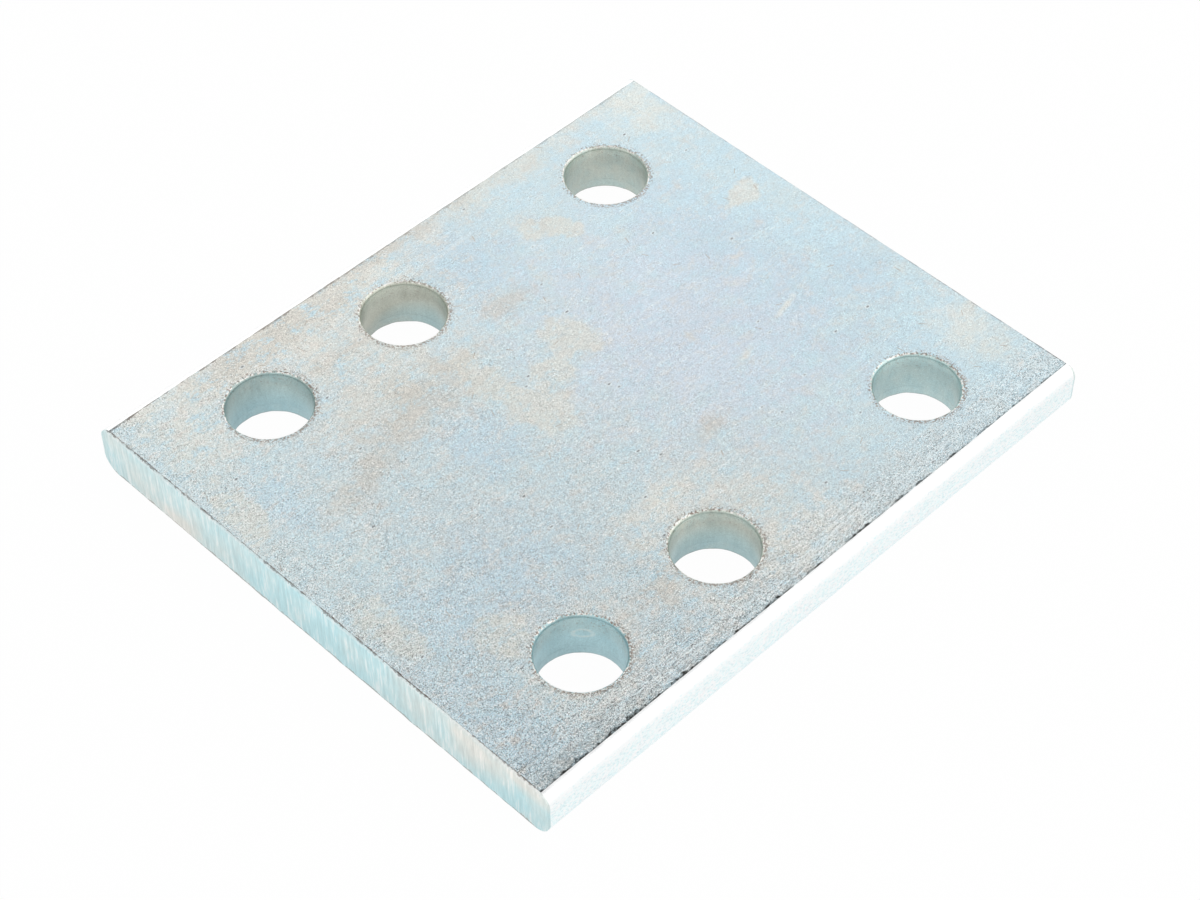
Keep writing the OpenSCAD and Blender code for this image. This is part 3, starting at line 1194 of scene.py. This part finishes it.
def rim_glints_and_dirt(bench, place, side, color):
    """The rim: painted glints, bright and broken, with dirt between them, and dots of dirt above."""
    x, y, z = bench.axes(place)
    sway = bench.noise(place, WEAR_SWAY_SIZE, 2.0, 0.6)
    depth = THICKNESS - (z + bench.spread(sway, -WEAR_SWAY, WEAR_SWAY, "LINEAR"))
    speckle = bench.noise(place, RIM_SPECKLE_SIZE, 1.0, 0.5)
    dirty = bench.ramp(x - y, -100 * MM, 20 * MM, 0.45, 0.9)
    glint_and_dirt_band = bench.ramp(depth, *GLINT_BAND_SPAN)
    glint_beads = bench.ramp(bench.noise(place, GLINT_BEAD_SIZE, 1.0, 0.5), 0.45, 0.52)
    # Painted glints in near white on the rim, with dirt between them
    color = bench.mix(glint_and_dirt_band * glint_beads, color, RIM_GLINT_WHITE)
    color = bench.mix(glint_and_dirt_band * (bench.ramp(speckle, 0.52, 0.60) * dirty), color, RIM_DIRT)
    dots = bench.ramp(speckle + bench.ramp(side, -0.8, 0.8, -0.05, 0.04), 0.47, 0.57) * dirty
    return bench.mix(bench.ramp(depth, *CROWN_SPAN), color, bench.mix(dots, ZINC_PALE, RIM_DIRT))


def punched_bore_finish(effects):
    """The punched holes: satin walls, duller above and cyan below, with painted light and shade on them, and
    thin rims of painted glints and dirt.
    """
    material, bench, place = new_finish("punched_bore")
    _, y, z = bench.axes(place)
    fine = bench.use(effects["streak"], place)["Fine"]
    grain = bench.use(effects["grain"], place)
    side = bench.use(effects["rim"], place)["Side"]
    patchy = bench.noise(place, BORE_PATCH_SIZE, 5.0, 0.65)
    far = bench.ramp(y, *FAR_HOLE_SPAN)
    color = wall_color(bench, place, far, patchy)
    tone = grain["Tone"] * 0.06 + 1.0 + bench.spread(fine, -0.03, 0.03)
    # The wall's brightness carries painted light and shade
    color = bench.shade(color, tone * wall_light_and_shade(bench, place, far, side))
    scuff = scuff_mask(bench, place) * bench.ramp(patchy, 0.35, 0.55, 0.1, 0.7)
    color = bench.mix(scuff, color, SCUFF_LIGHT)

    # Break-out: a faint line where it starts, and dirt at its lower rim
    started = bench.ramp(abs(z - BREAKOUT_HEIGHT), 0.3 * MM, 0.0)
    color = bench.shade(color, bench.ramp(started * patchy, 0.2, 0.7, 1.0, 0.86))
    color = bench.mix(bench.ramp(z, 0.4 * MM, 0.0, 0.0, 0.35), color, RIM_DIRT)

    color = rim_glints_and_dirt(bench, place, side, color)
    bare_metal(bench, color, bench.spread(patchy, *BORE_ROUGHNESS), fine, BORE_RELIEF)
    return material


# The finishes on the skin

FACE, EDGE, END, BORE = range(4)


def part_of_skin(place):
    """The finish that belongs at a place on the plate."""
    if abs(place.y) > CREASE_Y:
        return END
    if hole_offset(place) < (RIM_RADIUS if place.z > THICKNESS / 2 else LOWER_RIM_RADIUS):
        return BORE
    if abs(place.x) > FLAT_HALF and place.z < THICKNESS - CLOSE:
        return EDGE
    return FACE


def finish_plate(plate):
    """Gives each part of the clean skin its finish."""
    effects = {
        "grain": grain_group(),
        "crease": crease_group(),
        "rim": rim_group(),
        "streak": streak_group(),
    }
    for make in (rolled_face_finish, rolled_edge_finish, sheared_end_finish, punched_bore_finish):
        plate.data.materials.append(make(effects))
    for face in plate.data.polygons:
        face.material_index = part_of_skin(face.center)


# Camera, floor and light

CAMERA_AIM = Vector((11.4, -9.2, 12.0)) * MM
CAMERA_AZIMUTH = math.radians(45.07)
CAMERA_ELEVATION = math.radians(48.28)
CAMERA_DISTANCE = 571.5 * MM
CAMERA_ROLL = math.radians(-0.11)
CAMERA_LENS = 85.43
CAMERA_CLIP = 10 * MM
FLOOR_SIZE = 12.0
FLOOR_GLOW = 0.98
SKY_LEVEL = 0.64
BACK_SOFTBOX = {"azimuth": 225, "elevation": 28, "distance": 0.7, "width": 1.3, "height": 0.7, "level": 0.58}
SIDE_SOFTBOX = {"azimuth": 125, "elevation": 33, "distance": 0.8, "width": 1.0, "height": 1.0, "level": 0.62}
FRONT_SOFTBOX = {"azimuth": 10, "elevation": 28, "distance": 0.9, "width": 1.6, "height": 0.6, "level": 0.5}


def towards(azimuth, elevation):
    """Unit vector from the plate towards a place at this azimuth and elevation, as for a camera there."""
    flat = math.cos(elevation)
    return Vector((flat * math.sin(azimuth), -flat * math.cos(azimuth), math.sin(elevation)))


def look_along(direction):
    return direction.to_track_quat("-Z", "Y")


def add_camera():
    data = bpy.data.cameras.new("camera")
    data.lens = CAMERA_LENS
    data.clip_start = CAMERA_CLIP
    data.dof.use_dof = False
    camera = bpy.data.objects.new("camera", data)
    bpy.context.scene.collection.objects.link(camera)
    out = towards(CAMERA_AZIMUTH, CAMERA_ELEVATION)
    camera.location = CAMERA_AIM + out * CAMERA_DISTANCE
    camera.rotation_mode = "QUATERNION"
    camera.rotation_quaternion = look_along(-out) @ Quaternion((0, 0, 1), CAMERA_ROLL)
    bpy.context.scene.camera = camera


def straight_seen(bench):
    """1 for rays that look straight at a surface or see it in metal or glass, 0 for stray light."""
    path = bench.add("ShaderNodeLightPath")
    seen = bench.math("MAXIMUM", path["Is Camera Ray"], path["Is Glossy Ray"])
    return bench.math("MAXIMUM", seen, path["Is Transmission Ray"])


def floor_finish():
    """White floor that stays white where it is seen, but for a faint shadow."""
    material = bpy.data.materials.new("white_floor")
    material.use_nodes = True
    material.node_tree.nodes.clear()
    bench = NodeBench(material.node_tree)
    paper = bench.wire("ShaderNodeBsdfDiffuse", {"Color": FLOOR_WHITE})
    glow = bench.wire("ShaderNodeEmission", {"Color": WHITE, "Strength": 1.0})
    share = straight_seen(bench) * FLOOR_GLOW
    both = bench.wire("ShaderNodeMixShader", {0: share, 1: paper, 2: glow})
    bench.add("ShaderNodeOutputMaterial", {"Surface": both})
    return material


def add_floor(height):
    leave_edit()
    bpy.ops.mesh.primitive_plane_add(size=FLOOR_SIZE, location=(0, 0, height))
    floor = bpy.context.object
    floor.name = "floor"
    floor.data.materials.append(floor_finish())
    leave_edit()
    floor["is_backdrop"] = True


def add_sky():
    """A soft, even room, white where the camera sees it."""
    world = bpy.data.worlds.new("studio")
    world.use_nodes = True
    world.node_tree.nodes.clear()
    bench = NodeBench(world.node_tree)
    room = (SKY_LEVEL, SKY_LEVEL, SKY_LEVEL, 1.0)
    camera_ray = bench.add("ShaderNodeLightPath")["Is Camera Ray"]
    color = bench.mix(camera_ray, room, WHITE)
    sky = bench.wire("ShaderNodeBackground", {"Color": color, "Strength": 1.0})
    bench.add("ShaderNodeOutputWorld", {"Surface": sky})
    bpy.context.scene.world = world


def add_softbox(name, azimuth, elevation, distance, width, height, level):
    """A lamp that shines at the plate, and looks this bright in a mirror."""
    data = bpy.data.lights.new(name, "AREA")
    data.shape = "RECTANGLE"
    data.size = width
    data.size_y = height
    data.energy = level * math.pi * width * height
    lamp = bpy.data.objects.new(name, data)
    bpy.context.scene.collection.objects.link(lamp)
    out = towards(math.radians(azimuth), math.radians(elevation))
    lamp.location = out * distance
    lamp.rotation_mode = "QUATERNION"
    lamp.rotation_quaternion = look_along(-out)
    lamp.visible_camera = False


plate = build_plate()
finish_plate(plate)
roughen(plate)
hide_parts(NODE)
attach(plate, "root")

add_camera()
add_floor(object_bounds()[0].z)
add_sky()
add_softbox("back_softbox", **BACK_SOFTBOX)
add_softbox("side_softbox", **SIDE_SOFTBOX)
add_softbox("front_softbox", **FRONT_SOFTBOX)
bpy.context.scene.view_settings.view_transform = "Standard"
